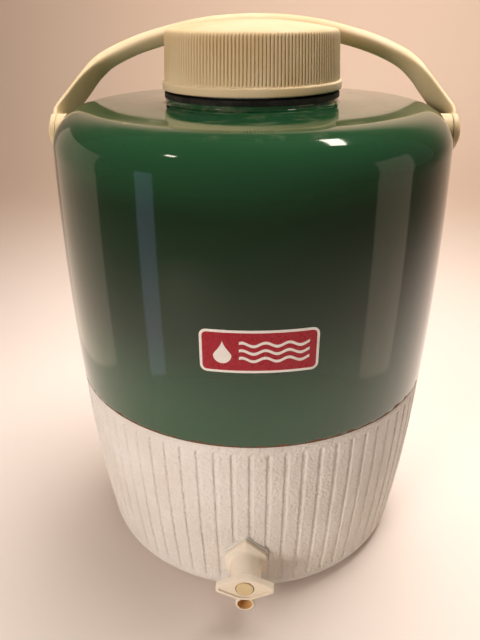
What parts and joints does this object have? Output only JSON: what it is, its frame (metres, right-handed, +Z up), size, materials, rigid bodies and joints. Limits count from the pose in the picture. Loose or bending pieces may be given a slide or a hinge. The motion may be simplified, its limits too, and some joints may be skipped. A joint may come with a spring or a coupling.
{
  "type": "insulated drinks jug",
  "caption": "Insulated drinks jug: green steel shell on a fluted white base, screw lid, bail handle and push-button faucet.",
  "frame": {"origin": "middle of the flat underside that the jug stands on", "axes": "+Z up, -Y towards the faucet and the label, +X to the right seen from the front"},
  "size_m": [0.2624, 0.2721, 0.3636],
  "materials": {
    "green_enamel": "gloss",
    "white_plastic": "textured satin",
    "cream_plastic": "satin",
    "button_plastic": "satin",
    "tank_plastic": "satin",
    "foam": "matt",
    "black_rubber": "matt",
    "clear_rubber": "satin",
    "plated_steel": "plated",
    "printed_label": "gloss"
  },
  "bodies": {
    "jug": {"outer_shell": "green_enamel", "base_cup": "white_plastic", "inner_tank": "tank_plastic", "body_insulation": "foam", "neck_ring": "black_rubber", "left_pivot_boss": "cream_plastic", "right_pivot_boss": "cream_plastic", "left_pivot_cap": "cream_plastic", "right_pivot_cap": "cream_plastic", "left_pivot_screw": "plated_steel", "right_pivot_screw": "plated_steel", "left_backing_plate": "plated_steel", "right_backing_plate": "plated_steel", "faucet_body": "cream_plastic", "faucet_finger_plate": "cream_plastic", "faucet_gasket": "black_rubber", "faucet_washer": "black_rubber", "faucet_nut": "tank_plastic", "return_spring": "plated_steel", "front_label": "printed_label"},
    "handle": {"handle": "cream_plastic"},
    "lid_gasket": {"lid_gasket": "clear_rubber"},
    "lid": {"lid_cap": "cream_plastic", "lid_plug": "tank_plastic", "lid_insulation": "foam"},
    "button": {"faucet_button": "button_plastic", "button_o_ring": "black_rubber", "valve_stem": "tank_plastic", "valve_seal": "black_rubber"}
  },
  "joints": [
    {"name": "handle_swing", "type": "hinge", "parent": "jug", "child": "handle", "pos_m": [0, 0, 0.295], "axis": [1, 0, 0], "range_deg": [-8, 108]},
    {"name": "lid_rise", "type": "slide", "parent": "jug", "child": "lid_gasket", "axis": [0, 0, 1], "range_m": [0, 0.04]},
    {"name": "lid_turn", "type": "hinge", "parent": "lid_gasket", "child": "lid", "pos_m": [0, 0, 0.34], "axis": [0, 0, 1], "range_deg": [0, 1800]},
    {"name": "button_push", "type": "slide", "parent": "jug", "child": "button", "axis": [0, 1, 0], "range_m": [0, 0.005], "stiffness_N_per_m": 900, "springref_m": -0.003, "deforming": ["return_spring"]}
  ],
  "couplings": [
    {"joint": "lid_rise", "follows": "lid_turn", "m_per_rad": 0.0012732}
  ]
}
